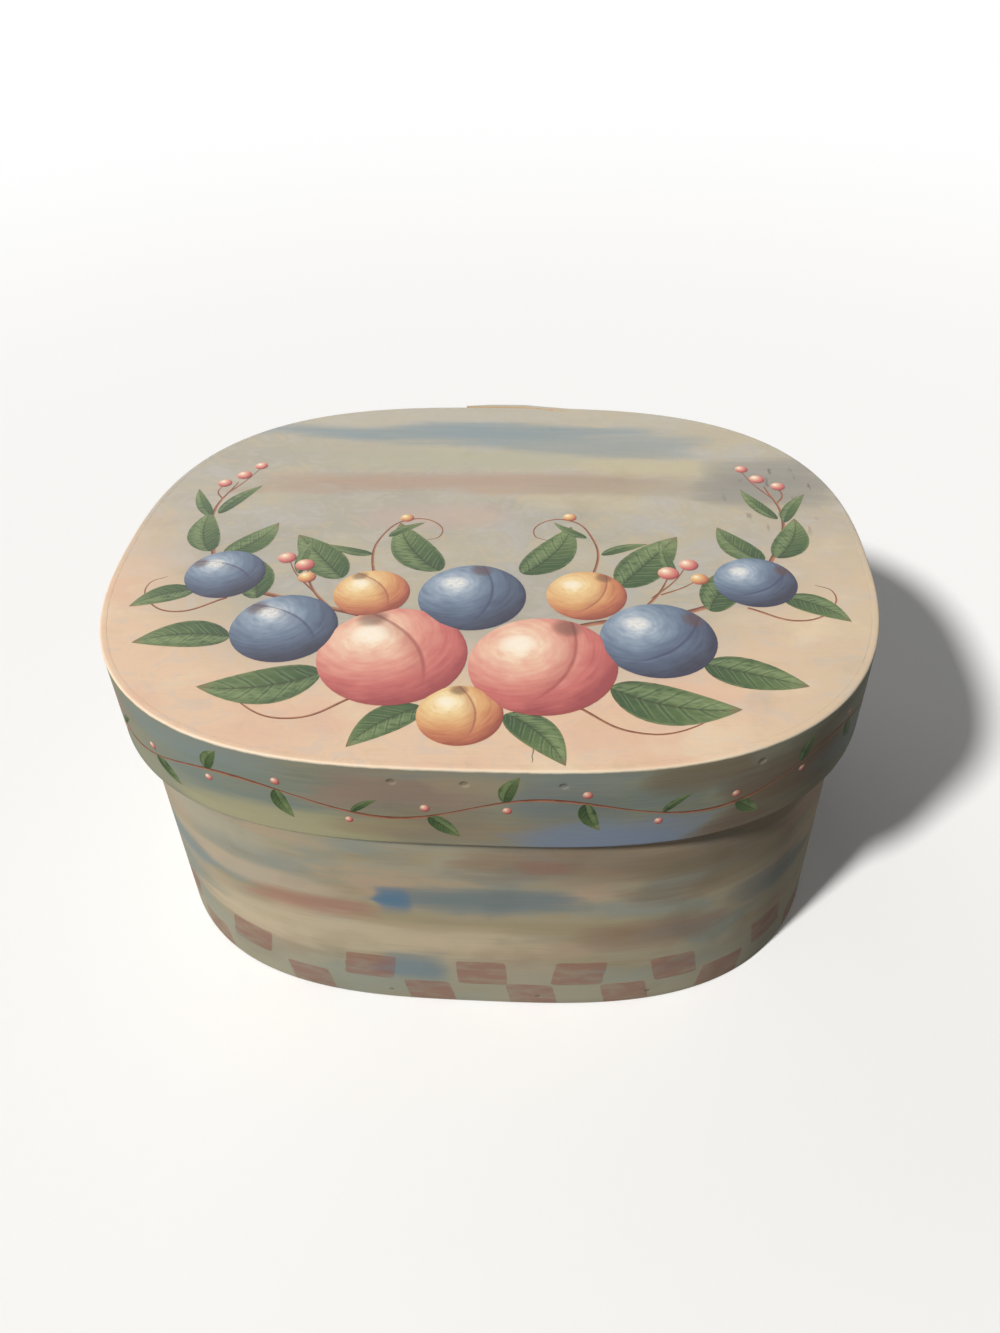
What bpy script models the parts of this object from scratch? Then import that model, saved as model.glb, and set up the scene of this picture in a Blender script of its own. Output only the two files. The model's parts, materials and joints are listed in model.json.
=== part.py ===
"""Oval bentwood box with a lift-off lid.

Two thin wooden strips are bent round oval boards. Each strip's ends are pared thin, lapped over each
other at the back, glued and tacked. Brads driven through the strips hold the boards. The lid's strip
slips down over the box's strip, and the lid's board rests on the box's rim.

Metres, +Z up, the floor at z = 0. The front is -Y and the long axis is X. The lid lifts along Z.
"""

import math

import bmesh
import bpy
import numpy as np
from mathutils import Vector

for old_object in list(bpy.data.objects):
    bpy.data.objects.remove(old_object, do_unlink=True)

# Overall sizes, measured over the lid's strip and leaving out the lap's bulge at the back
LID_LENGTH = 0.254
LID_WIDTH = 0.209
BOX_HEIGHT = 0.1206
LID_STRIP_DEPTH = 0.0320

# The oval follows |x/a|^LENGTH_POWER + |y/b|^WIDTH_POWER = 1, between an ellipse and a rounded oblong
LENGTH_POWER = 3.0
WIDTH_POWER = 2.5
OVAL_SAMPLES = 7200
STATIONS_ROUND_OVAL = 96

# Wood
STRIP_THICKNESS = 0.0024
LID_BOARD_THICKNESS = 0.0120
BASE_BOARD_THICKNESS = 0.0090
RIM_EASING = 0.0006
RIM_EASING_STEPS = 2

# Clearances
FIT_GAP = 0.0003
LAP_RUNNING_GAP = 0.0004

# The lap where a strip's two ends cross
LAP_LENGTH = 0.0340
PARED_LENGTH = 0.0100
PARED_TIP = 0.0008
LAP_STEPS = 6

# Brads that hold the boards, driven by eye, each at a share of the way round from the middle of the front
BRAD_LENGTH = 0.0160
BRAD_SHANK_RADIUS = 0.0007
BRAD_HEAD_RADIUS = 0.0013
BRAD_HEAD_THICKNESS = 0.0006
BRAD_POINT_LENGTH = 0.0020
BRAD_SINK = 0.0003
LID_BRAD_RIGHT_SHARES = (0, 0.035, 0.108, 0.155, 0.205, 0.25, 0.30, 0.35, 0.40, 0.45)
LID_BRAD_LEFT_SHARES = (0.55, 0.60, 0.65, 0.70, 0.75, 0.795, 0.845, 0.89, 0.935, 0.974)
BASE_BRAD_RIGHT_SHARES = (0.026, 0.076, 0.13, 0.19, 0.25, 0.31, 0.37, 0.43)
BASE_BRAD_LEFT_SHARES = (0.57, 0.63, 0.69, 0.75, 0.81, 0.87, 0.92, 0.961)

# Tacks that close the laps
TACK_HEAD_RADIUS = 0.0015
TACK_HEAD_THICKNESS = 0.0005
TACK_SHANK_RADIUS = 0.0007
TACK_POINT_LENGTH = 0.0004
TACK_SINK = 0.0003
BASE_TACK_ROWS = 5
LID_TACK_ROWS = 1

FASTENER_SIDES = 6
CUT_OVERRUN = 0.0010
MERGE_DISTANCE = 0.00001
SHARP_ANGLE = math.radians(30)

# Sizes that follow from the ones above
GLUE_GAP = FIT_GAP
LAP_RISE = STRIP_THICKNESS + GLUE_GAP
LID_INNER_INSET = STRIP_THICKNESS
BASE_OUTER_INSET = LID_INNER_INSET + LAP_RISE + LAP_RUNNING_GAP
BASE_INNER_INSET = BASE_OUTER_INSET + STRIP_THICKNESS
BASE_STRIP_DEPTH = BOX_HEIGHT - LID_BOARD_THICKNESS - FIT_GAP
LID_BOARD_UNDERSIDE = LID_STRIP_DEPTH - LID_BOARD_THICKNESS


def new_collection(name):
    """A collection linked to the scene."""
    made = bpy.data.collections.new(name)
    bpy.context.scene.collection.children.link(made)
    return made


BOX = new_collection("oval_box")
CUTTERS = new_collection("cutters")


def new_material(name, colour, roughness, metallic=0.0):
    """A Principled BSDF in one colour."""
    material = bpy.data.materials.new(name)
    material.use_nodes = True
    shader = material.node_tree.nodes["Principled BSDF"]
    shader.inputs["Base Color"].default_value = (*colour, 1)
    shader.inputs["Roughness"].default_value = roughness
    shader.inputs["Metallic"].default_value = metallic
    return material


LID_TOP_PAINT = new_material("lid_top_paint", (0.58, 0.47, 0.37), 0.5)
LID_SIDE_PAINT = new_material("lid_side_paint", (0.30, 0.33, 0.30), 0.5)
BASE_SIDE_PAINT = new_material("base_side_paint", (0.33, 0.30, 0.23), 0.5)
BARE_WOOD = new_material("bare_wood", (0.60, 0.45, 0.30), 0.7)
STEEL = new_material("steel", (0.45, 0.44, 0.42), 0.4, 1.0)


def new_body(name, height):
    """An empty that carries one body's pieces and stands on the line that the lid lifts along."""
    body = bpy.data.objects.new(name, None)
    body.location.z = height
    BOX.objects.link(body)
    return body


def new_piece(name, data, body, collection=BOX):
    """An object under a body's empty."""
    piece = bpy.data.objects.new(name, data)
    piece.parent = body
    collection.objects.link(piece)
    return piece


def evaluated_mesh(piece):
    """A mesh of what an object's modifiers make."""
    bpy.context.view_layer.update()
    graph = bpy.context.evaluated_depsgraph_get()
    return bpy.data.meshes.new_from_object(piece.evaluated_get(graph))


def weld(mesh):
    """Merges points that lie on each other, such as those of a curve's caps."""
    shape = bmesh.new()
    shape.from_mesh(mesh)
    bmesh.ops.remove_doubles(shape, verts=shape.verts, dist=MERGE_DISTANCE)
    shape.to_mesh(mesh)
    shape.free()


# The oval. A place on it is its distance round the lid's outer face from the middle of the front,
# towards +X, and an inset from that face.


def trace_oval():
    """Points close together on the lid's outer face, and the distance along it to each."""
    turns = np.linspace(-math.pi / 2, 3 * math.pi / 2, OVAL_SAMPLES + 1)
    across, along = np.cos(turns), np.sin(turns)
    x = LID_LENGTH / 2 * np.sign(across) * np.abs(across) ** (2 / LENGTH_POWER)
    y = LID_WIDTH / 2 * np.sign(along) * np.abs(along) ** (2 / WIDTH_POWER)
    run = np.concatenate([[0], np.cumsum(np.hypot(np.diff(x), np.diff(y)))])
    return x, y, run


OVAL_X, OVAL_Y, OVAL_RUN = trace_oval()
PERIMETER = float(OVAL_RUN[-1])
LAP_START = (PERIMETER - LAP_LENGTH) / 2


def steepness(place, width, power):
    """The gradient along one axis of the oval's formula."""
    return math.copysign(abs(2 * place / width) ** (power - 1), place) * power / width


def oval_place(station, inset, height=0):
    """The point at a station round the oval, moved in by an inset, and the direction out of the box there."""
    reach = station % PERIMETER
    x = float(np.interp(reach, OVAL_RUN, OVAL_X))
    y = float(np.interp(reach, OVAL_RUN, OVAL_Y))
    slope = (steepness(x, LID_LENGTH, LENGTH_POWER), steepness(y, LID_WIDTH, WIDTH_POWER))
    outward = Vector((*slope, 0)).normalized()
    return Vector((x, y, height)) - outward * inset, outward


# Bent strips


def pared_thickness(reach):
    """A strip's thickness at a distance along it: both ends are pared on their outer side."""
    from_end = min(reach, PERIMETER + LAP_LENGTH - reach)
    return PARED_TIP + (STRIP_THICKNESS - PARED_TIP) * min(1, from_end / PARED_LENGTH)


def lap_lift(reach):
    """How far a strip's inner face stands off the oval, where the strip climbs over its own pared end."""
    if reach >= PERIMETER:
        return pared_thickness(reach - PERIMETER) + GLUE_GAP
    climb = max(0, 1 - (PERIMETER - reach) / PARED_LENGTH)
    return (PARED_TIP + GLUE_GAP) * climb**2 * (3 - 2 * climb)


def strip_reaches():
    """Distances along a strip, alike in the two layers of its lap."""
    inner_layer = np.linspace(0, LAP_LENGTH, LAP_STEPS, endpoint=False)
    single = np.linspace(LAP_LENGTH, PERIMETER, STATIONS_ROUND_OVAL, endpoint=False)
    outer_layer = np.linspace(PERIMETER, PERIMETER + LAP_LENGTH, LAP_STEPS + 1)
    return [float(reach) for reach in (*inner_layer, *single, *outer_layer)]


def bent_strip(name, body, inner_inset, depth, material):
    """A strip bent round the oval, its top rim eased along its full thickness.

    Its inner face is an open wall that Solidify thickens outwards.
    """
    wall = bmesh.new()
    thinning = wall.verts.layers.deform.verify()
    easing = wall.edges.layers.float.new("bevel_weight_edge")
    foot = []
    for reach in strip_reaches():
        point, _ = oval_place(LAP_START + reach, inner_inset - lap_lift(reach))
        corner = wall.verts.new(point)
        corner[thinning][0] = pared_thickness(reach) / STRIP_THICKNESS
        foot.append(corner)
    lower_edges = [wall.edges.new(pair) for pair in zip(foot, foot[1:])]
    for raised in bmesh.ops.extrude_edge_only(wall, edges=lower_edges)["geom"]:
        if isinstance(raised, bmesh.types.BMVert):
            raised.co.z = depth
        elif isinstance(raised, bmesh.types.BMEdge):
            raised[easing] = all(corner[thinning][0] == 1 for corner in raised.verts)
    bmesh.ops.recalc_face_normals(wall, faces=wall.faces)
    mesh = bpy.data.meshes.new(name)
    wall.to_mesh(mesh)
    wall.free()
    mesh.materials.append(material)

    strip = new_piece(name, mesh, body)
    group = strip.vertex_groups.new(name="thinning")
    thickness = strip.modifiers.new("thickness", "SOLIDIFY")
    thickness.thickness = STRIP_THICKNESS
    thickness.offset = 1
    thickness.use_even_offset = True
    thickness.vertex_group = group.name
    eased_rim = strip.modifiers.new("eased_rim", "BEVEL")
    eased_rim.limit_method = "WEIGHT"
    eased_rim.width = min(RIM_EASING, STRIP_THICKNESS / 3)
    eased_rim.segments = RIM_EASING_STEPS
    return strip


# Boards


def oval_board(name, body, edge_inset, underside, thickness, material):
    """A flat oval board, drawn as a filled outline and made a mesh so that it takes Booleans."""
    outline = bpy.data.curves.new(name + "_outline", "CURVE")
    outline.dimensions = "2D"
    outline.fill_mode = "BOTH"
    outline.extrude = thickness / 2
    spline = outline.splines.new("POLY")
    spline.points.add(STATIONS_ROUND_OVAL - 1)
    spline.use_cyclic_u = True
    for index, corner in enumerate(spline.points):
        point, _ = oval_place(PERIMETER * index / STATIONS_ROUND_OVAL, edge_inset)
        corner.co = (*point, 1)
    drawn = new_piece(name + "_outline", outline, body)
    drawn.location.z = underside + thickness / 2

    mesh = evaluated_mesh(drawn)
    weld(mesh)
    mesh.materials.append(material)
    board = new_piece(name, mesh, body)
    board.matrix_world = drawn.matrix_world
    bpy.data.objects.remove(drawn)
    return board


# Brads and tacks


def turned(name, profile, material=None):
    """A mesh turned about Z from a profile of (radius, height), top to bottom."""
    line = bmesh.new()
    points = [line.verts.new((radius, 0, height)) for radius, height in profile]
    for pair in zip(points, points[1:]):
        line.edges.new(pair)
    drawn_mesh = bpy.data.meshes.new(name + "_profile")
    line.to_mesh(drawn_mesh)
    line.free()
    drawn = new_piece(name + "_profile", drawn_mesh, None, CUTTERS)
    turning = drawn.modifiers.new("turning", "SCREW")
    turning.steps = FASTENER_SIDES
    turning.render_steps = FASTENER_SIDES
    turning.use_merge_vertices = True
    turning.merge_threshold = MERGE_DISTANCE
    mesh = evaluated_mesh(drawn)
    mesh.name = name
    if material:
        mesh.materials.append(material)
    bpy.data.objects.remove(drawn)
    return mesh


def nail_profile(head_radius, head_thickness, shank_radius, point_length, length):
    """A nail with the top of its head at height 0."""
    return [
        (0, 0),
        (head_radius, 0),
        (head_radius, -head_thickness),
        (shank_radius, -head_thickness),
        (shank_radius, point_length - length),
        (0, -length),
    ]


def hole_profile(head_radius, head_thickness, shank_radius, sink, length):
    """The stepped hole round such a nail, run out past the wood's face."""
    mouth = sink + CUT_OVERRUN
    return [
        (0, mouth),
        (head_radius + FIT_GAP, mouth),
        (head_radius + FIT_GAP, -head_thickness - FIT_GAP),
        (shank_radius + FIT_GAP, -head_thickness - FIT_GAP),
        (shank_radius + FIT_GAP, -length),
        (0, -length),
    ]


BRAD = turned(
    "brad",
    nail_profile(BRAD_HEAD_RADIUS, BRAD_HEAD_THICKNESS, BRAD_SHANK_RADIUS, BRAD_POINT_LENGTH, BRAD_LENGTH),
    STEEL,
)
BRAD_HOLE = turned(
    "brad_hole",
    hole_profile(BRAD_HEAD_RADIUS, BRAD_HEAD_THICKNESS, BRAD_SHANK_RADIUS, BRAD_SINK, BRAD_LENGTH + FIT_GAP),
)

# A tack stops just short of the lap's inner face, and its hole goes right through
TACK_LENGTH = LAP_RISE + STRIP_THICKNESS - TACK_SINK - FIT_GAP
TACK = turned(
    "tack",
    nail_profile(TACK_HEAD_RADIUS, TACK_HEAD_THICKNESS, TACK_SHANK_RADIUS, TACK_POINT_LENGTH, TACK_LENGTH),
    STEEL,
)
TACK_HOLE = turned(
    "tack_hole",
    hole_profile(
        TACK_HEAD_RADIUS, TACK_HEAD_THICKNESS, TACK_SHANK_RADIUS, TACK_SINK, TACK_LENGTH + CUT_OVERRUN
    ),
)


def brad_places(shares, outer_inset, height):
    """Where brads' heads sit, sunk in a strip's outer face."""
    return [oval_place(PERIMETER * share, outer_inset + BRAD_SINK, height) for share in shares]


def tack_places(outer_inset, lowest, highest, rows):
    """Where tacks' heads sit: rows of two, in the middle of a lap where both layers are at full thickness."""
    full_thickness = LAP_LENGTH - 2 * PARED_LENGTH
    places = []
    for row in range(rows):
        height = lowest + (highest - lowest) * (row + 1 / 2) / rows
        for side in (-1, 1):
            station = PERIMETER / 2 + side * full_thickness / 4
            places.append(oval_place(station, outer_inset - LAP_RISE + TACK_SINK, height))
    return places


def fasten(name, body, nail, hole, places, wooden_pieces):
    """Sets a nail at each place, and cuts its hole in the pieces that it goes through."""
    holes = bpy.data.collections.new(name + "_holes")
    CUTTERS.children.link(holes)
    for number, (point, outward) in enumerate(places, start=1):
        driven = new_piece(f"{name}_{number:02d}", nail, body)
        cutter = new_piece(f"{name}_{number:02d}_hole", hole, body, holes)
        cutter.hide_render = True
        cutter.display_type = "WIRE"
        for copy in (driven, cutter):
            copy.location = point
            copy.rotation_euler = outward.to_track_quat("Z", "Y").to_euler()
    for piece in wooden_pieces:
        cut = piece.modifiers.new(name + "_holes", "BOOLEAN")
        cut.operation = "DIFFERENCE"
        cut.operand_type = "COLLECTION"
        cut.collection = holes
        cut.solver = "EXACT"


def finish(piece):
    """Applies a wooden piece's modifiers, and shades its round faces smooth and its corners sharp."""
    drawn = piece.data
    piece.data = evaluated_mesh(piece)
    piece.modifiers.clear()
    bpy.data.meshes.remove(drawn)
    piece.data.name = piece.name
    piece.data.shade_smooth()
    piece.data.set_sharp_from_angle(angle=SHARP_ANGLE)


# The box


def build_base():
    """Strip, board, the brads round its foot and the tacks up its lap."""
    body = new_body("base", 0)
    band = bent_strip("base_band", body, BASE_INNER_INSET, BASE_STRIP_DEPTH, BASE_SIDE_PAINT)
    board = oval_board("base_board", body, BASE_INNER_INSET + FIT_GAP, 0, BASE_BOARD_THICKNESS, BARE_WOOD)
    shares = BASE_BRAD_RIGHT_SHARES + BASE_BRAD_LEFT_SHARES
    brads = brad_places(shares, BASE_OUTER_INSET, BASE_BOARD_THICKNESS / 2)
    fasten("base_brad", body, BRAD, BRAD_HOLE, brads, [band, board])
    tacks = tack_places(BASE_OUTER_INSET, BASE_BOARD_THICKNESS, BASE_STRIP_DEPTH, BASE_TACK_ROWS)
    fasten("base_lap_tack", body, TACK, TACK_HOLE, tacks, [band])
    finish(band)
    finish(board)


# The lid, whose body stands at the height of its strip's lower edge


def build_lid():
    """Strip, board flush with its top, the brads round the board and the tacks up the lap."""
    body = new_body("lid", BOX_HEIGHT - LID_STRIP_DEPTH)
    band = bent_strip("lid_band", body, LID_INNER_INSET, LID_STRIP_DEPTH, LID_SIDE_PAINT)
    board = oval_board(
        "lid_board", body, LID_INNER_INSET + FIT_GAP, LID_BOARD_UNDERSIDE, LID_BOARD_THICKNESS, LID_TOP_PAINT
    )
    shares = LID_BRAD_RIGHT_SHARES + LID_BRAD_LEFT_SHARES
    brads = brad_places(shares, 0, LID_BOARD_UNDERSIDE + LID_BOARD_THICKNESS / 2)
    fasten("lid_brad", body, BRAD, BRAD_HOLE, brads, [band, board])
    tacks = tack_places(0, 0, LID_BOARD_UNDERSIDE, LID_TACK_ROWS)
    fasten("lid_lap_tack", body, TACK, TACK_HOLE, tacks, [band])
    finish(band)
    finish(board)


build_base()
build_lid()
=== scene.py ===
"""An oval bentwood box with a lift-off lid, painted outside and bare wood inside.

Metres, +Z up. The box stands on z = 0 with its front towards -Y and its long axis along X.
"""

import json
import math

import bmesh
import bpy
import numpy as np
from mathutils import Matrix, Vector

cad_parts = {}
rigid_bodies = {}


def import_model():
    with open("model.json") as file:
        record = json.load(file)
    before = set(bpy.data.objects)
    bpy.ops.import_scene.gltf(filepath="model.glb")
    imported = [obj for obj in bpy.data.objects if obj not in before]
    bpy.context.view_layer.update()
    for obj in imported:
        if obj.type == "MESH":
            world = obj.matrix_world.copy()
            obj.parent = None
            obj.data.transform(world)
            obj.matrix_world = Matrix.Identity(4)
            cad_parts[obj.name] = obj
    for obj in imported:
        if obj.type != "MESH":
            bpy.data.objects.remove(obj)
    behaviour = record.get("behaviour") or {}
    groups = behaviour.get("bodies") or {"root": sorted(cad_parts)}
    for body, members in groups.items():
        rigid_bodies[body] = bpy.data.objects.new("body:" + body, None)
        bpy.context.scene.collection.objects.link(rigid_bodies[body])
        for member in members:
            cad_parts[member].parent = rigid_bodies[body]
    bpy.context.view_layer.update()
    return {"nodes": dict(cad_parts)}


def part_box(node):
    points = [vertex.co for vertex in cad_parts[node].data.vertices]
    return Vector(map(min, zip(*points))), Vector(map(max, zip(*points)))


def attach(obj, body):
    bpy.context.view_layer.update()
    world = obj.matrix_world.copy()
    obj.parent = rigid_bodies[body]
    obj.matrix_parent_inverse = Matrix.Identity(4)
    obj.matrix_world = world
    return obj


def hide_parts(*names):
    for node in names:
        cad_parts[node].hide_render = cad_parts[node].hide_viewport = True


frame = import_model()


# The picture. It is taken by hand from in front of the box, about 40 cm away and well above it. The
# camera stands a little to the right, tips down past the lid's middle and leans slightly.
LID_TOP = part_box("lid_band")[1].z
CAMERA_DISTANCE = 0.3730
CAMERA_RISE = 0.5992
CAMERA_SWING = 0.0875
CAMERA_PAN = 0.0057
CAMERA_TIP = -0.1081
CAMERA_LEAN = 0.0323
SENSOR_SIZE = 36
PICTURE_HEIGHT = 1333
FOCAL_LENGTH_IN_PIXELS = 1082.3

camera = bpy.data.objects.new("camera", bpy.data.cameras.new("camera"))
bpy.context.scene.collection.objects.link(camera)
bpy.context.scene.camera = camera
camera.data.sensor_width = SENSOR_SIZE
camera.data.lens = SENSOR_SIZE * FOCAL_LENGTH_IN_PIXELS / PICTURE_HEIGHT
camera.data.clip_start = 0.01
towards_lid = Matrix.Rotation(CAMERA_SWING, 4, "Z") @ Matrix.Rotation(math.pi / 2 - CAMERA_RISE, 4, "X")
held = (
    Matrix.Rotation(-CAMERA_PAN, 4, "Y")
    @ Matrix.Rotation(CAMERA_TIP, 4, "X")
    @ Matrix.Rotation(-CAMERA_LEAN, 4, "Z")
)
stand = Vector((0, 0, LID_TOP)) + towards_lid @ Vector((0, 0, CAMERA_DISTANCE))
camera.matrix_world = Matrix.Translation(stand) @ towards_lid @ held


# The studio. A pale floor runs off into white, a lamp stands high at the front left, a weak, broad one
# low at the back, and a dim light comes from all round. The floor looks whiter than the light it returns.
FLOOR_RADIUS = 4.0
FLOOR_FADE_START = 0.35
FLOOR_FADE_END = 1.10
FLOOR_SEEN = 0.96
FLOOR_BOUNCE = 0.17
LAMP_COLOUR = (1.0, 0.985, 0.96)
LIGHT_ALL_ROUND = 0.155


def written_as(operation, reflected=False):
    """An operator between a wire and a value that adds a Math node."""
    if reflected:
        return lambda wire, value: wire.sum(operation, value, wire)
    return lambda wire, value: wire.sum(operation, wire, value)


class Wire:
    """One output of a node, or only a tree to start in. Sums written with wires become Math nodes."""

    def __init__(self, tree, output=None):
        self.tree = tree
        self.output = output

    def node(self, kind, sockets=None, out=0, stops=None, **settings):
        """Adds a node with its settings, then its sockets' values or wires, and gives one output."""
        made = self.tree.nodes.new(kind)
        for name, value in settings.items():
            setattr(made, name, value)
        if stops:
            row = made.color_ramp.elements
            row[0].position, row[0].color = stops[0]
            row[1].position, row[1].color = stops[-1]
            for place, colour in stops[1:-1]:
                row.new(place).color = colour
        for name, value in (sockets or {}).items():
            if isinstance(value, Wire):
                value.feed(made, name)
            elif value is not None:
                made.inputs[name].default_value = value
        return Wire(self.tree, made.outputs[out] if made.outputs else None)

    def feed(self, node, socket):
        """Links this wire to a node that is already there."""
        self.tree.links.new(self.output, node.inputs[socket])

    def other(self, name):
        """Another output of the same node."""
        return Wire(self.tree, self.output.node.outputs[name])

    def sum(self, operation, *values):
        """A Math node on wires or numbers."""
        return self.node("ShaderNodeMath", dict(enumerate(values)), operation=operation)

    def vector(self, operation, *values, out=0):
        """A Vector Math node on wires or vectors."""
        return self.node("ShaderNodeVectorMath", dict(enumerate(values)), out, operation=operation)

    def scaled(self, share):
        """This vector times a number."""
        return self.node("ShaderNodeVectorMath", {0: self, "Scale": share}, operation="SCALE")

    def joined(self, x=None, y=None, z=None):
        """A vector of up to three numbers, the others 0."""
        return self.node("ShaderNodeCombineXYZ", {"X": x, "Y": y, "Z": z})

    def split(self):
        """This vector's X, Y and Z."""
        x = self.node("ShaderNodeSeparateXYZ", {0: self})
        return x, x.other("Y"), x.other("Z")

    __add__ = __radd__ = written_as("ADD")
    __sub__, __rsub__ = written_as("SUBTRACT"), written_as("SUBTRACT", reflected=True)
    __mul__ = __rmul__ = written_as("MULTIPLY")
    __truediv__, __rtruediv__ = written_as("DIVIDE"), written_as("DIVIDE", reflected=True)
    __pow__ = written_as("POWER")

    def __abs__(self):
        return self.sum("ABSOLUTE", self)

    def rise(self, low, high):
        """0 at the low value and 1 at the high one, with a soft step between. It also falls."""
        limits = {"Value": self, "From Min": low, "From Max": high}
        return self.node("ShaderNodeMapRange", limits, interpolation_type="SMOOTHSTEP")

    def between(self, first, second):
        """The colour this wire's share of the way from the first to the second."""
        return self.node("ShaderNodeMix", {0: self, 6: first, 7: second}, 2, data_type="RGBA")

    def over(self, ground, red, green, blue):
        """A ground with another colour, read off a screen, laid over it as much as this wire says."""
        return self.between(ground, shade(red, green, blue))


def shade(red, green, blue):
    """A colour read off a screen, each part from 0 to 255, as a shader takes it."""
    parts = [part / 255 for part in (red, green, blue)]
    return (*[p / 12.92 if p <= 0.04045 else ((p + 0.055) / 1.055) ** 2.4 for p in parts], 1)

def grey(part):
    """A neutral colour that returns this part of the light."""
    return (part, part, part, 1)


def linked(name, data):
    """A new object at the origin of the scene."""
    made = bpy.data.objects.new(name, data)
    bpy.context.scene.collection.objects.link(made)
    return made


def new_material(name):
    """A material, and a wire that says where on the object a spot lies, to start its nodes from."""
    material = bpy.data.materials.new(name)
    material.use_nodes = True
    return material, Wire(material.node_tree).node("ShaderNodeTexCoord", out="Object")


WHITE = grey(1)
floor_shape = bmesh.new()
bmesh.ops.create_circle(floor_shape, cap_ends=True, radius=FLOOR_RADIUS, segments=96)
floor_mesh = bpy.data.meshes.new("floor")
floor_shape.to_mesh(floor_mesh)
floor_shape.free()
floor = linked("floor", floor_mesh)

floor_paint, from_box = new_material("floor_paint")
seen = from_box.node("ShaderNodeLightPath")
distance = from_box.vector("LENGTH", from_box, out="Value")
far_off = distance.rise(FLOOR_FADE_START, FLOOR_FADE_END) * seen
surface = floor_paint.node_tree.nodes["Principled BSDF"]
surface.inputs["Roughness"].default_value = 0.9
surface.inputs["Specular IOR Level"].default_value = 0
seen.between(grey(FLOOR_BOUNCE), grey(FLOOR_SEEN)).feed(surface, "Base Color")
glow = seen.node("ShaderNodeEmission", {"Color": WHITE, "Strength": 1})
faded = seen.node("ShaderNodeMixShader", {0: far_off, 1: Wire(seen.tree, surface.outputs[0]), 2: glow})
faded.feed(floor_paint.node_tree.nodes["Material Output"], "Surface")
floor_mesh.materials.append(floor_paint)

studio = bpy.data.worlds.new("studio")
studio.use_nodes = True
bpy.context.scene.world = studio
ray = Wire(studio.node_tree).node("ShaderNodeLightPath")
white_seen = ray.sum("MAXIMUM", ray, ray.other("Is Glossy Ray"))
white_seen = ray.sum("MAXIMUM", white_seen, ray.other("Is Transmission Ray"))
white_seen.between(grey(LIGHT_ALL_ROUND), WHITE).feed(studio.node_tree.nodes["Background"], "Color")


def lamp(name, strength, softness, from_left, rise):
    """A distant lamp, turned from the front towards the left and raised by so many degrees."""
    from_left, rise = math.radians(from_left), math.radians(rise)
    made = linked(name, bpy.data.lights.new(name, "SUN"))
    made.data.energy = strength
    made.data.angle = math.radians(softness)
    made.data.color = LAMP_COLOUR
    level = math.cos(rise)
    to_lamp = Vector((-math.sin(from_left) * level, -math.cos(from_left) * level, math.sin(rise)))
    made.rotation_euler = to_lamp.to_track_quat("Z", "Y").to_euler()


lamp("lamp", strength=3.5, softness=6, from_left=45, rise=43)
lamp("back_lamp", strength=0.5, softness=60, from_left=135, rise=20)
bpy.context.scene.view_settings.view_transform = "Standard"


# The box's side: one thin strip of wood, steamed and bent round an oval. Its ends are pared thin and
# lap over each other at the back. It is painted outside in soft streaks, with checks round the foot.
MM = 0.001
LENGTH_POWER = 3.0
WIDTH_POWER = 2.5
OVAL_STEPS = 7200
STATION_SPACING = 0.0020
STRIP_THICKNESS = 0.0024
PARED_LENGTH = 0.0100
PARED_TIP = 0.0008
LAP_LENGTH = 0.0340
GLUE_GAP = 0.0003
BASE_INNER_INSET = 0.0079
BASE_EDGE_ROUNDING = 0.0007
EDGE_STEPS = 5
LAP_TACKS = 0.0035
DENT_REACH = 0.0016
DENT_FLATNESS = 1.3
DENT_STATIONS = (-1.1, -0.85, -0.6, -0.35, -0.12, 0.12, 0.35, 0.6, 0.85, 1.1)
OUTER_FACE_FROM = 0.62
INSIDE_ROWS = 0.25
SMOOTH_UP_TO = math.radians(40)

lid_low, lid_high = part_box("lid_band")
half_length, half_width = lid_high.x, -lid_low.y
turns = np.linspace(-math.pi / 2, 3 * math.pi / 2, OVAL_STEPS + 1)
oval_x = half_length * np.sign(np.cos(turns)) * np.abs(np.cos(turns)) ** (2 / LENGTH_POWER)
oval_y = half_width * np.sign(np.sin(turns)) * np.abs(np.sin(turns)) ** (2 / WIDTH_POWER)
oval_run = np.concatenate([[0], np.cumsum(np.hypot(np.diff(oval_x), np.diff(oval_y)))])
perimeter = float(oval_run[-1])
half_run = (perimeter + LAP_LENGTH) / 2


def oval_place(way, inset=0.0, height=0.0):
    """A point at a way round the lid's outer face, from the front's middle, and the direction outward."""
    x = float(np.interp(way % perimeter, oval_run, oval_x))
    y = float(np.interp(way % perimeter, oval_run, oval_y))
    slope_x = math.copysign(abs(x / half_length) ** (LENGTH_POWER - 1), x) * LENGTH_POWER / half_length
    slope_y = math.copysign(abs(y / half_width) ** (WIDTH_POWER - 1), y) * WIDTH_POWER / half_width
    outward = Vector((slope_x, slope_y, 0)).normalized()
    return Vector((x, y, height)) - outward * inset, outward


def way_to(node):
    """How far round the oval a nail sits, from the front's middle."""
    low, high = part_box(node)
    middle = (low + high) / 2
    nearest = int(np.argmin(np.hypot(oval_x - middle.x, oval_y - middle.y)))
    way = float(oval_run[nearest])
    return way if way < perimeter / 2 else way - perimeter


def keep(mesh, label, values, kind="FLOAT"):
    """Keeps a value for each of a mesh's points under a name."""
    part = "vector" if kind == "FLOAT_VECTOR" else "value"
    mesh.attributes.new(label, kind, "POINT").data.foreach_set(part, values)


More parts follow.
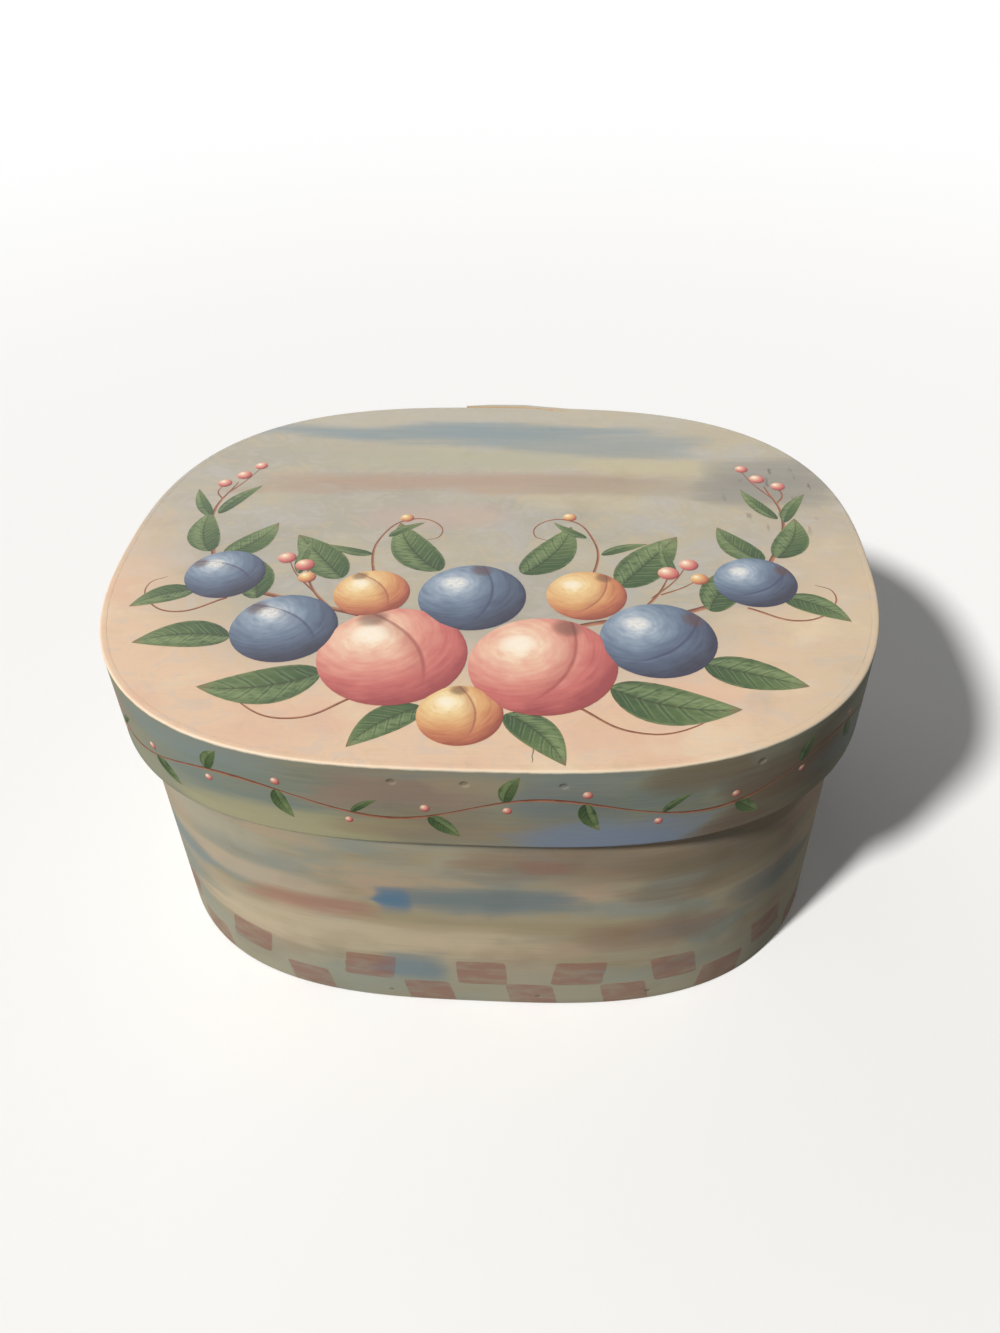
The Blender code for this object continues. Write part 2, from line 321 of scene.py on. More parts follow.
def strip_rail(name, brads):
    """The line that a strip follows, with a station at each tack and a few across each brad's dent."""
    tacks = [side * perimeter / 2 + offset for side in (-1, 1) for offset in (-LAP_TACKS, LAP_TACKS)]
    across_dents = [brad + share * DENT_REACH for brad in brads for share in DENT_STATIONS]
    marks = sorted([-half_run, half_run, *across_dents, *tacks])
    ways = [marks[0]]
    for first, last in zip(marks, marks[1:]):
        steps = max(1, round((last - first) / STATION_SPACING))
        ways += [first + (last - first) * step / steps for step in range(1, steps + 1)]
    stations = [oval_place(way) for way in ways]
    rail = bpy.data.meshes.new(name + "_rail")
    rail.from_pydata([point for point, _ in stations], [(i, i + 1) for i in range(len(ways) - 1)], [])
    for label, number in (("station", 0), ("outward", 1)):
        keep(rail, label, [part for station in stations for part in station[number]], "FLOAT_VECTOR")
    keep(rail, "way_round", ways)
    for label, nails in (("from_brad", brads), ("from_tack", tacks)):
        keep(rail, label, [min(abs(way - nail) for nail in nails) for way in ways])
    return rail


def new_rule(name, **labels):
    """A Geometry Nodes tree with named inputs of each kind, and the wires from them."""
    tree = bpy.data.node_groups.new(name, "GeometryNodeTree")
    for in_out in ("OUTPUT", "INPUT"):
        tree.interface.new_socket(name="Geometry", in_out=in_out, socket_type="NodeSocketGeometry")
    sizes = [(kind, label) for kind, row in labels.items() for label in row]
    for kind, label in sizes:
        tree.interface.new_socket(name=label, in_out="INPUT", socket_type="NodeSocket" + kind)
    given = Wire(tree).node("NodeGroupInput")
    return given, {label: given.other(label) for _, label in sizes}


def rule_giving(geometry):
    """Ends a Geometry Nodes tree with what it makes."""
    geometry.node("NodeGroupOutput", {0: geometry})
    return geometry.tree


def attribute(start, label, kind="FLOAT"):
    """A named attribute's value, in a Geometry Nodes tree."""
    return start.node("GeometryNodeInputNamedAttribute", {"Name": label}, data_type=kind)


def stored(geometry, label, value, kind="FLOAT"):
    """Keeps a value on geometry under a name, in a Geometry Nodes tree."""
    sockets = {"Geometry": geometry, "Name": label, "Value": value}
    return geometry.node("GeometryNodeStoreNamedAttribute", sockets, data_type=kind)


def with_paint(geometry, paint, where=None):
    """Gives geometry a material, all over or only in one place."""
    sockets = {"Geometry": geometry, "Selection": where, "Material": paint}
    return geometry.node("GeometryNodeSetMaterial", sockets)


# The strips' rule sweeps a rounded section along the rail, with both ends pared and lapped
strip_sizes = ("Inset", "Foot", "Depth", "Thickness", "Rounding", "Inner Rounding", "Painted Above")
dent_sizes = ("Dent Height", "Dent Reach", "Dent Depth")
given, size = new_rule(
    "bent_strip", Float=strip_sizes + dent_sizes, Int=["Rows"], Material=["Outside", "Inside"]
)
rail = given.node("GeometryNodeMeshToCurve", {0: given})
section = {"Width": size["Thickness"], "Height": size["Depth"]}
section = given.node("GeometryNodeCurvePrimitiveQuadrilateral", section)
place = given.node("GeometryNodeInputPosition")
outer = place.sum("GREATER_THAN", place.split()[0], 0)
rounding = size["Inner Rounding"] + (size["Rounding"] - size["Inner Rounding"]) * outer
corners = {"Curve": section, "Count": EDGE_STEPS, "Radius": rounding, "Limit Radius": True}
section = given.node("GeometryNodeFilletCurve", corners, mode="POLY")
point = given.node("GeometryNodeInputIndex")
on_outside = point.sum("COMPARE", point, 4 * (EDGE_STEPS + 1) - 1, 0.5)
on_inside = point.sum("COMPARE", point, 2 * (EDGE_STEPS + 1) - 1, 0.5)
rows = (on_outside + on_inside * INSIDE_ROWS) * size["Rows"]
section = given.node("GeometryNodeSubdivideCurve", {0: section, 1: rows})
section = stored(section, "section", place, "FLOAT_VECTOR")
strip = {"Curve": rail, "Profile Curve": section, "Fill Caps": True}
strip = given.node("GeometryNodeCurveToMesh", strip)

reach = attribute(given, "way_round") + half_run
from_end = given.sum("MINIMUM", reach, 2 * half_run - reach)
pared = given.sum("MINIMUM", from_end / PARED_LENGTH, 1)
thickness = PARED_TIP + (size["Thickness"] - PARED_TIP) * pared
climb = reach.rise(perimeter - PARED_LENGTH, perimeter) * (PARED_TIP + GLUE_GAP)
over = given.sum("MINIMUM", (reach - perimeter) / PARED_LENGTH, 1)
over = given.sum("MAXIMUM", over, 0) * (STRIP_THICKNESS - PARED_TIP)
out_of_wood, down, _ = attribute(given, "section", "FLOAT_VECTOR").split()
outer_share = out_of_wood / size["Thickness"] + 0.5
height = size["Foot"] + size["Depth"] * 0.5 - down
outside = given.sum("GREATER_THAN", outer_share, OUTER_FACE_FROM)
up = (height - size["Dent Height"]) / size["Dent Reach"] * DENT_FLATNESS
dent = ((attribute(given, "from_brad") / size["Dent Reach"]) ** 2 + up**2).rise(1.0, 0.0)
off_rail = climb + over - size["Inset"] + outer_share * thickness - dent * outside * size["Dent Depth"]
spot = attribute(given, "outward", "FLOAT_VECTOR").scaled(off_rail)
spot = given.vector("ADD", attribute(given, "station", "FLOAT_VECTOR"), spot)
spot = given.vector("ADD", spot, given.joined(z=height))
strip = given.node("GeometryNodeSetPosition", {"Geometry": strip, "Position": spot})
painted = given.sum("MAXIMUM", outside, given.sum("GREATER_THAN", height, size["Painted Above"]))
bent_strip = rule_giving(with_paint(with_paint(strip, size["Inside"]), size["Outside"], painted))


def made_by(tree, name, drawn_data, sizes):
    """Runs a tree on drawn points or lines, and keeps what it makes as a plain mesh on a new object."""
    drawn = linked(name + "_drawn", drawn_data)
    rule = drawn.modifiers.new(name, "NODES")
    rule.node_group = tree
    for item in tree.interface.items_tree:
        if item.item_type == "SOCKET" and item.in_out == "INPUT" and item.name in sizes:
            rule[item.identifier] = sizes[item.name]
    graph = bpy.context.evaluated_depsgraph_get()
    mesh = bpy.data.meshes.new_from_object(drawn.evaluated_get(graph), depsgraph=graph)
    drawn.modifiers.remove(rule)
    bpy.data.objects.remove(drawn)
    mesh.name = name
    mesh.shade_smooth()
    mesh.set_sharp_from_angle(angle=SMOOTH_UP_TO)
    return linked(name, mesh)


def mottle(place, size, detail=4, seed=0, curl=0):
    """Soft random patches from 0 to 1, each about so many millimetres in X, Y and Z, dragged by a curl."""
    scale = tuple(1 / (side * MM) for side in size)
    scaled = place.vector("MULTIPLY_ADD", place, scale, (seed, seed, seed))
    noise = {"Vector": scaled, "Scale": 1, "Detail": detail, "Distortion": curl}
    return place.node("ShaderNodeTexNoise", noise)


def finish(material, colour, roughness, height, depth=0.001):
    """Feeds a colour, a roughness and a height, whose 1 is so deep, to a material's surface."""
    shader = material.node_tree.nodes["Principled BSDF"]
    bump = colour.node("ShaderNodeBump", {"Strength": 1, "Distance": depth, "Height": height})
    for socket, wire in (("Base Color", colour), ("Roughness", roughness), ("Normal", bump)):
        wire.feed(shader, socket)


def ramp(value, *stops):
    """A colour from a row of stops: for each its place, and its red, green and blue as read off a screen."""
    stops = [(place, shade(*colour)) for place, *colour in stops]
    return value.node("ShaderNodeValToRGB", {0: value}, stops=stops)


def from_stored(start, label, output="Fac"):
    """A value that the mesh carries, in a material's tree."""
    return start.node("ShaderNodeAttribute", out=output, attribute_name=label)


def bare_wood(name, grain_size):
    """Sanded basswood: pale, with fine grain along one way, slow darker bands and short pores."""
    material, place = new_material(name)
    fine = mottle(place, grain_size, 6)
    slow = mottle(place, [side * 6 for side in grain_size], 3, 4)
    pores = mottle(place, [side * 0.35 for side in grain_size], 2, 9).rise(0.60, 0.72)
    grain = fine * 0.6 + slow * 0.7 - 0.15
    colour = ramp(
        grain, (0.25, 170, 132, 88), (0.45, 205, 170, 124), (0.60, 221, 190, 146), (0.80, 232, 207, 168)
    )
    colour = (pores * 0.35).over(colour, 150, 112, 74)
    finish(material, colour, 0.62 + fine * 0.2, fine * 0.6 - pores * 0.4, 0.00012)
    return material


# Wet-blended streaks of the box's side, in millimetres: way round, height, half length, half depth,
# then colour and strength
BASE_STREAKS = (
    (-75, 66, 26, 5, (140, 148, 143), 0.55),
    (-82, 55, 34, 6, (196, 178, 154), 0.75),
    (-92, 74, 26, 8, (176, 172, 152), 0.70),
    (-58, 46, 24, 5, (172, 128, 112), 0.80),
    (-40, 33, 54, 9, (206, 190, 160), 0.85),
    (4, 56.5, 36, 6, (108, 126, 132), 0.85),
    # These two darker brown streaks towards the right end are partly paint and partly painted shade below
    # the lid
    (52, 76, 52, 11, (134, 114, 94), 0.75),
    (86, 68, 34, 12, (126, 112, 88), 0.75),
    (-26, 54.5, 6.2, 6.4, (90, 124, 150), 0.95),
    (-22, 18, 13, 7, (118, 138, 148), 0.80),
    (24, 74, 9, 4, (150, 112, 96), 0.60),
    (12, 44, 60, 5, (164, 150, 116), 0.55),
    (56, 37, 26, 7, (142, 112, 94), 0.60),
    (108, 46, 22, 7, (104, 114, 118), 0.60),
    (150, 70, 40, 6, (176, 140, 122), 0.60),
    (215, 50, 45, 7, (120, 136, 146), 0.65),
    (300, 62, 50, 7, (186, 166, 134), 0.60),
    (350, 38, 40, 6, (172, 134, 118), 0.60),
    (-150, 46, 45, 7, (124, 142, 150), 0.60),
    (-200, 66, 40, 6, (180, 142, 124), 0.65),
    (-270, 52, 50, 7, (188, 168, 138), 0.60),
    (-330, 70, 40, 6, (118, 138, 148), 0.60),
)

# The checks: how far apart two blocks are on average, and where the hand that spaced them crowded them
CHECK_STEP = 0.01926
CHECK_DRIFT = 0.30
CHECK_DRIFT_LENGTH = 4 * perimeter / 16
CHECK_CROWDED_AT = 0.030
CHECK_SHIFT = 0.191
CHECK_HALF_WIDTH = 0.0085
CHECK_HALF_DEPTH = 0.0064
CHECK_SLANT = 0.45
UPPER_CHECKS = 0.0172
LOWER_CHECKS = 0.0054
CHECK_PAINT = shade(150, 98, 86)


def streaked(ground, way, height, streaks, wander, broken):
    """Lays soft streaks over a ground colour, blunt at both ends as a flat brush leaves them."""
    for at_way, at_height, half_reach, half_depth, colour, strength in streaks:
        along = (way - at_way * MM) / (half_reach * MM) + wander * 0.9
        up = (height - at_height * MM) / (half_depth * MM) + wander * 1.1
        inside = (along**4 + up**2 + (broken - 0.5) * 1.3).rise(1.9, -0.25) * strength
        ground = inside.over(ground, *colour)
    return ground


def check_mask(way, height, place):
    """Two staggered rows of blocks with soft, hand-painted edges."""
    uneven = mottle(place, (5, 5, 1.8), 3, 3) - 0.5
    turn = 2 * math.pi / CHECK_DRIFT_LENGTH
    angle = (way - CHECK_CROWDED_AT) * turn
    count = way / CHECK_STEP + angle.sum("SINE", angle) * CHECK_DRIFT + CHECK_SHIFT
    crowding = angle.sum("COSINE", angle) * (CHECK_DRIFT * turn) + 1 / CHECK_STEP
    rows = []
    for at_height, first in ((UPPER_CHECKS, 0), (LOWER_CHECKS, 1)):
        pair = (count + first) * 0.5
        number = pair.sum("ROUND", pair)
        own = {"W": number + first * 0.37}
        own = number.node("ShaderNodeTexWhiteNoise", own, noise_dimensions="1D")
        slant = (height - at_height) * (own - 0.5) * CHECK_SLANT
        off_middle = abs((pair - number) * 2 / crowding + slant) / CHECK_HALF_WIDTH
        off_middle = off_middle * (0.94 + own * 0.12)
        off_row = abs(height - at_height + own * 0.0012 - 0.0006) / CHECK_HALF_DEPTH
        rows.append((off_middle**12 + off_row**12 + uneven * 1.2).rise(1.25, 0.60))
    return rows[0].sum("MAXIMUM", rows[0], rows[1])


def bristles(place, along):
    """The fine ridges that a brush leaves, running level round the side."""
    return mottle(place, (along, along, 0.6), 3, 2)


def oval_mark(across, half_length, up, half_height, low=1.1, high=0.45):
    """1 in the middle of a small oval mark, and 0 outside it."""
    return ((across / half_length) ** 2 + (up / half_height) ** 2).rise(low, high)


TACK_ROWS = 5
TACK_MARK = 0.0016
FOOT_MARK_HALF_LENGTH = 0.0011
FOOT_MARK_HALF_HEIGHT = 0.0009
BASE_BOARD_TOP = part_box("base_board")[1].z
BASE_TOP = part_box("base_band")[1].z

base_paint, place = new_material("base_side_paint")
height = place.split()[2]
way = from_stored(place, "way_round")
slow = mottle(place, (60, 60, 11), 4)
patch = mottle(place, (45, 45, 20), 3, 7)
ridges = bristles(place, 16)
wander = (slow - 0.5) * 2
broken = 1 - (mottle(place, (50, 50, 1.9), 3, 21) * 0.6 + ridges * 0.4)
ground = ramp(
    slow * 0.75 + ridges * 0.25,
    (0.30, 150, 138, 108),
    (0.44, 168, 154, 126),
    (0.52, 170, 162, 138),
    (0.60, 180, 162, 136),
    (0.74, 162, 158, 144),
)
ground = (patch.rise(0.49, 0.62) * 0.70).over(ground, 144, 152, 144)
ground = (patch.rise(0.45, 0.34) * 0.55).over(ground, 188, 162, 138)
ground = (height.rise(0.030, 0.012) * (0.35 + slow * 0.4)).over(ground, 162, 162, 142)
ground = streaked(ground, way, height, BASE_STREAKS, wander, broken)
checks = check_mask(way, height, place)
thin = mottle(place, (8, 8, 2.5), 4, 11).rise(0.30, 0.62)
ground = (checks * (0.34 + thin * 0.30)).between(ground, CHECK_PAINT)
scuffed = mottle(place, (3.5, 3.5, 1.6), 4, 5)
foot_wear = (height + scuffed * 0.0022).rise(0.0022, 0.0006)
ground = (foot_wear * 0.75).over(ground, 196, 172, 134)
grime = mottle(place, (20, 20, 20), 5, 13).rise(0.52, 0.75) * 0.16
ground = grime.over(ground, 92, 78, 58)
from_tack, from_brad = from_stored(place, "from_tack"), from_stored(place, "from_brad")
row_gap = (BASE_TOP - BASE_BOARD_TOP) / TACK_ROWS
row = (height - BASE_BOARD_TOP) / row_gap
off_tack = (row.sum("FRACT", row) - 0.5) * row_gap
tack_dent = oval_mark(from_tack, TACK_MARK, off_tack, TACK_MARK)
off_brad = height - BASE_BOARD_TOP / 2
brad_dent = oval_mark(from_brad, FOOT_MARK_HALF_LENGTH, off_brad, FOOT_MARK_HALF_HEIGHT, 1.1, 0.3)
# The tack and brad dents are darkened inside: painted shade in the hollows, with a little grime
ground = (brad_dent * 0.35 + tack_dent * 0.12).over(ground, 96, 80, 62)
relief = ridges * 0.05 + checks * 0.03 + scuffed * 0.02 - tack_dent * 0.20 - brad_dent * 0.12
finish(base_paint, ground, 0.50 + ridges * 0.14 - checks * 0.05, relief)

base_wood = bare_wood("base_strip_wood", (50, 50, 0.9))
base_strip = made_by(
    bent_strip,
    "base_side",
    strip_rail("base_side", [way_to(f"base_brad_{number:02d}") for number in (1, 2, 16)]),
    {
        "Inset": BASE_INNER_INSET,
        "Foot": 0.0,
        "Depth": BASE_TOP,
        "Thickness": STRIP_THICKNESS,
        "Rounding": BASE_EDGE_ROUNDING,
        "Inner Rounding": BASE_EDGE_ROUNDING,
        "Painted Above": BASE_TOP,
        "Dent Reach": DENT_REACH,
        "Rows": 48,
        "Outside": base_paint,
        "Inside": base_wood,
    },
)
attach(base_strip, "base")
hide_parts("base_band")


# The box's bottom: an oval board sawn from pine or basswood, sanded and left bare. The strip is bent
# round it and nailed to its edge.
BOARD_GAP = 0.0001
BOARD_STATIONS = 360
BOARD_EASING = 0.0005
BOARD_RINGS = (0.25, 0.5, 0.75, 0.9)


def oval_board(name, edge_inset, underside, top, easing, top_material, side_material):
    """A flat oval board with eased edges, made of rings from the middle of its top to that of its foot."""
    nearly = easing * 0.3
    rings = [(share, 0.0, top) for share in BOARD_RINGS]
    rings += [(1.0, easing * 2.5, top), (1.0, easing, top), (1.0, nearly, top - nearly)]
    rings += [(1.0, 0.0, top - easing), (1.0, 0.0, underside + easing)]
    rings += [(1.0, nearly, underside + nearly), (1.0, easing, underside)]
    rings += [(share, 0.0, underside) for share in reversed(BOARD_RINGS)]
    shape = bmesh.new()
    loops = []
    for share, inset, height in rings:
        loop = []
        for step in range(BOARD_STATIONS):
            point, _ = oval_place(perimeter * step / BOARD_STATIONS, edge_inset + inset, height)
            loop.append(shape.verts.new((point.x * share, point.y * share, height)))
        loops.append(loop)
    for upper, lower in zip(loops, loops[1:]):
        for step in range(BOARD_STATIONS):
            after = (step + 1) % BOARD_STATIONS
            shape.faces.new((upper[step], lower[step], lower[after], upper[after]))
    for loop, height in ((loops[0], top), (list(reversed(loops[-1])), underside)):
        middle = shape.verts.new((0, 0, height))
        for step in range(BOARD_STATIONS):
            shape.faces.new((middle, loop[step], loop[(step + 1) % BOARD_STATIONS]))
    mesh = bpy.data.meshes.new(name)
    for face in shape.faces:
        face.material_index = 0 if face.calc_center_median().z > top - easing else 1
    shape.to_mesh(mesh)
    shape.free()
    mesh.materials.append(top_material)
    mesh.materials.append(side_material)
    mesh.shade_smooth()
    mesh.set_sharp_from_angle(angle=SMOOTH_UP_TO)
    return linked(name, mesh)


board_wood = bare_wood("board_wood", (80, 1.6, 1.6))
base_floor = oval_board(
    "base_bottom", BASE_INNER_INSET + BOARD_GAP, 0.0, BASE_BOARD_TOP, BOARD_EASING, board_wood, board_wood
)
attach(base_floor, "base")
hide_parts("base_board")


# The box's nails: brads driven through the strip into the board, and tacks that close the lap. They
# are dull cut steel with a little rust, set just below the wood and painted over, so only dents show.
steel, place = new_material("nail_steel")
rust = mottle(place, (1.2, 1.2, 1.2), 4)
rusted = rust.rise(0.45, 0.62)
colour = rusted.over(shade(138, 134, 128), 104, 66, 42)
finish(steel, colour, 0.38 + rusted * 0.4, rust, 0.00005)
(1 - rusted).feed(steel.node_tree.nodes["Principled BSDF"], "Metallic")
for name, nail in frame["nodes"].items():
    if "brad" in name or "tack" in name:
        nail.data.materials.clear()
        nail.data.materials.append(steel)


# The lid's side: a shallower strip bent to slip down over the box's, lapped at the back in the same
# way. It is painted in slate blue, sage and mauve, and along its top edge runs a pale cream line that is
# partly rubbed paint and partly a painted highlight.
LID_FOOT = lid_low.z
LID_INNER_INSET = 0.0024
PAINT_ROOM = 0.00018
SIDE_PAINT_ROOM = 0.00008
LID_EDGE_ROUNDING = 0.0008
SEAM_EASING = 0.00003
DENT_DEPTH = 0.0002
LID_BRAD_HEIGHT = LID_TOP - 0.0060
LID_TACK_HEIGHT = (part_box("lid_lap_tack_01")[0].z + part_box("lid_lap_tack_01")[1].z) / 2
LID_SIDE_STREAKS = (
    (-105, 96, 26, 6, (150, 152, 130), 0.70),
    (-86, 114, 30, 5, (128, 142, 140), 0.75),
    (-70, 104, 30, 7, (122, 134, 124), 0.60),
    (-52, 93, 34, 6, (176, 170, 132), 0.85),
    (-18, 110, 26, 9, (152, 126, 112), 0.75),
    (2, 114, 13, 5, (160, 146, 120), 0.80),
    (-8, 96, 30, 6, (146, 126, 100), 0.60),
    (28, 107, 16, 8, (112, 122, 126), 0.75),
    (44, 93, 28, 6, (120, 134, 158), 0.80),
    (46, 108, 20, 6, (114, 124, 114), 0.70),
    (66, 115, 16, 6, (118, 102, 78), 0.75),
    # This dark brown streak at the right end is partly paint and partly painted shade
    (98, 102, 26, 14, (112, 92, 72), 0.90),
    (145, 98, 40, 8, (130, 142, 140), 0.65),
    (210, 110, 45, 7, (162, 134, 120), 0.65),
    (290, 98, 50, 8, (160, 156, 124), 0.65),
    (345, 110, 40, 7, (120, 136, 146), 0.65),
    (-160, 108, 45, 8, (160, 136, 124), 0.60),
    (-230, 98, 45, 8, (122, 140, 148), 0.70),
    (-310, 110, 50, 7, (162, 158, 128), 0.65),
)

# Streaks across the lid's top, in millimetres: X, Y, half length, half depth, then colour and strength
LID_TOP_STREAKS = (
    (0, 98, 100, 10, (192, 184, 166), 0.65),
    (-30, 81, 72, 9, (136, 150, 154), 0.90),
    (48, 73, 38, 8, (148, 156, 154), 0.80),
    (-10, 62, 50, 7, (180, 178, 154), 0.75),
    (60, 56, 34, 7, (196, 186, 154), 0.70),
    (-62, 66, 30, 6, (178, 172, 154), 0.60),
    (-18, 44, 70, 7, (178, 152, 134), 0.85),
    (46, 43, 40, 6, (170, 156, 136), 0.65),
    (32, 31, 26, 6, (200, 188, 160), 0.60),
    (-22, 20, 24, 8, (196, 172, 160), 0.55),
    (100, 47, 24, 18, (146, 142, 134), 0.90),
)


def top_ground(place):
    """The painted sky across the lid: streaks at the back that warm to peach along the front and ends."""
    across, along, _ = place.split()
    slow = mottle(place, (70, 16, 50), 4)
    patch = mottle(place, (40, 26, 50), 4, 5)
    ridges = mottle(place, (20, 0.8, 10), 3, 2)
    cloth = mottle(place, (2.2, 2.2, 2.2), 3, 8)
    wander = (slow - 0.5) * 2
    ground = (patch.rise(0.35, 0.65)).between(shade(176, 170, 156), shade(188, 178, 156))
    cloud = mottle(place, (30, 20, 50), 3, 9).rise(0.48, 0.66) * 0.5
    ground = cloud.over(ground, 182, 180, 178)
    edge = (abs(across + 0.008) / 0.130) ** 3
    edge = edge + (abs(along - 0.020) / 0.105) ** 2.4 * along.rise(0.030, -0.050)
    warm = (edge + wander * 0.16).rise(0.22, 0.90) * along.rise(0.050, -0.035)
    peach = across.rise(0.060, 0.120).between(shade(228, 196, 166), shade(212, 190, 162))
    ground = warm.between(ground, peach)
    dabs = mottle(place, (12, 9, 50), 3, 27, 1.6)
    ground = (dabs.rise(0.50, 0.66) * 0.30).over(ground, 198, 190, 182)
    ground = (dabs.rise(0.46, 0.34) * 0.26).over(ground, 208, 186, 150)
    rosy = mottle(place, (30, 22, 50), 4, 12).rise(0.50, 0.68) * warm * 0.55
    ground = rosy.over(ground, 224, 182, 156)
    pale = mottle(place, (24, 18, 50), 4, 15).rise(0.52, 0.68) * warm * 0.5
    ground = pale.over(ground, 232, 212, 180)
    broken = 1 - (mottle(place, (60, 2.6, 50), 3, 21) * 0.6 + ridges * 0.4)
    ground = streaked(ground, across, along, LID_TOP_STREAKS, wander, broken)
    grime = mottle(place, (18, 18, 18), 6, 19)
    ground = (grime.rise(0.56, 0.78) * 0.14).over(ground, 120, 104, 84)
    rubbed = mottle(place, (3, 10, 3), 5, 23).rise(0.60, 0.70)
    corner = (((across - 0.104) / 0.022) ** 2 + ((along - 0.038) / 0.026) ** 2).rise(1.3, 0.2)
    ground = (rubbed * (0.03 + corner * 0.72)).over(ground, 96, 92, 84)
    return ground, ridges, cloth, grime


lid_side_paint, place = new_material("lid_side_paint")
height = place.split()[2]
way = from_stored(place, "way_round")
slow = mottle(place, (50, 50, 12), 4, 6)
patch = mottle(place, (30, 30, 12), 3, 17)
ridges = bristles(place, 12)
ground = ramp(
    slow * 0.75 + ridges * 0.25,
    (0.30, 120, 124, 106),
    (0.44, 134, 136, 118),
    (0.54, 146, 144, 122),
    (0.64, 136, 138, 132),
    (0.76, 150, 140, 124),
)
ground = (patch.rise(0.48, 0.66) * 0.6).over(ground, 128, 138, 134)
broken = 1 - (mottle(place, (40, 40, 1.6), 3, 21) * 0.6 + ridges * 0.4)
ground = streaked(ground, way, height, LID_SIDE_STREAKS, (slow - 0.5) * 2, broken)
scuffed = mottle(place, (4, 4, 1.8), 4, 5)
over_edge = (height + scuffed * 0.0004).rise(LID_TOP - 0.0008, LID_TOP - 0.0004)
ground = over_edge.between(ground, top_ground(place)[0])
# A pale cream line along the top edge: partly paint rubbed thin, partly a painted highlight where the edge
# catches the light
rubbed_edge_and_highlight = (height + scuffed * 0.0007).rise(LID_TOP - 0.0010, LID_TOP - 0.0005)
rubbed_edge_and_highlight = rubbed_edge_and_highlight * height.rise(LID_TOP - 0.00018, LID_TOP - 0.0005)
ground = (rubbed_edge_and_highlight * (0.35 + scuffed * 0.5)).over(ground, 236, 222, 196)
foot_wear = (height + scuffed * 0.0016).rise(LID_FOOT + 0.0018, LID_FOOT + 0.0008)
ground = (foot_wear * 0.55).over(ground, 120, 84, 56)
from_tack, from_brad = from_stored(place, "from_tack"), from_stored(place, "from_brad")
dent_height = DENT_REACH / DENT_FLATNESS
dent = oval_mark(from_brad, DENT_REACH, height - LID_BRAD_HEIGHT, dent_height, 0.9, 0.1)
tack_dent = oval_mark(from_tack, TACK_MARK, height - LID_TACK_HEIGHT, TACK_MARK)
# The brad and tack dents are darkened inside: painted shade in the hollows, with a little grime
ground = (dent * 0.25 + tack_dent * 0.12).over(ground, 96, 84, 70)
relief = ridges * 0.05 + scuffed * 0.03 - dent * 0.14 - tack_dent * 0.2
finish(lid_side_paint, ground, 0.46 + ridges * 0.14, relief)

lid_wood = bare_wood("lid_strip_wood", (50, 50, 0.9))
lid_strip = made_by(
    bent_strip,
    "lid_side",
    strip_rail("lid_side", [way_to(f"lid_brad_{number:02d}") for number in (1, 2, 3, 20)]),
    {
        "Inset": LID_INNER_INSET,
        "Foot": LID_FOOT,
        "Depth": LID_TOP - PAINT_ROOM - LID_FOOT,
        "Thickness": STRIP_THICKNESS - SIDE_PAINT_ROOM,
        "Rounding": LID_EDGE_ROUNDING,
        "Inner Rounding": SEAM_EASING,
        "Painted Above": LID_TOP - PAINT_ROOM - LID_EDGE_ROUNDING,
        "Dent Height": LID_BRAD_HEIGHT,
        "Dent Reach": DENT_REACH,
        "Dent Depth": DENT_DEPTH,
        "Rows": 72,
        "Outside": lid_side_paint,
        "Inside": lid_wood,
    },
)
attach(lid_strip, "lid")
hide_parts("lid_band")


# The lid's top: an oval board flush with its strip. The seam between them is filled and painted over,
# and a short drying crack has opened in the paint near the front.
LID_BOARD_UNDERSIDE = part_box("lid_board")[0].z
SEAM = 0.00002

lid_top_paint, place = new_material("lid_top_paint")
ground, ridges, cloth, grime = top_ground(place)
across, along, _ = place.split()
crack_wander = mottle(place, (2, 3, 2), 2, 31) - 0.5
crack = abs(across - 0.0185 + crack_wander * 0.0012).rise(0.00022, 0.00006)
crack = crack * abs(along + 0.0955).rise(0.0062, 0.0045)
ground = (crack * 0.7).over(ground, 98, 84, 68)
relief = ridges * 0.05 + cloth * 0.03 - crack * 0.15
finish(lid_top_paint, ground, 0.44 + ridges * 0.10 + grime * 0.10, relief)

lid_panel = oval_board(
    "lid_top",
    LID_INNER_INSET + SEAM,
    LID_BOARD_UNDERSIDE,
    LID_TOP - PAINT_ROOM,
    SEAM_EASING,
    lid_top_paint,
    board_wood,
)
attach(lid_panel, "lid")
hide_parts("lid_board")


# The swag on the lid: peaches, plums, leaves and twigs laid in thin acrylic paint, back to front, in a
# crescent along the front. Each shape is one pass of the brush, a few hundredths of a millimetre thick.
LEAF_PAINT_THICKNESS = 0.00003
FRUIT_PAINT_THICKNESS = 0.00006
LEAVES_LIE_AT = 0.00003
FRUIT_LIES_AT = 0.00009
NEXT_LAYER = 0.000001
LINE_SPACING = 0.0010
LINE_RELIEF = 0.035
LEAF, LEAF_LEFT, LEAF_RIGHT, SLIM_LEAF, FRUIT = range(5)
PLUM, APRICOT, PEACH = 0.0, 0.5, 1.0

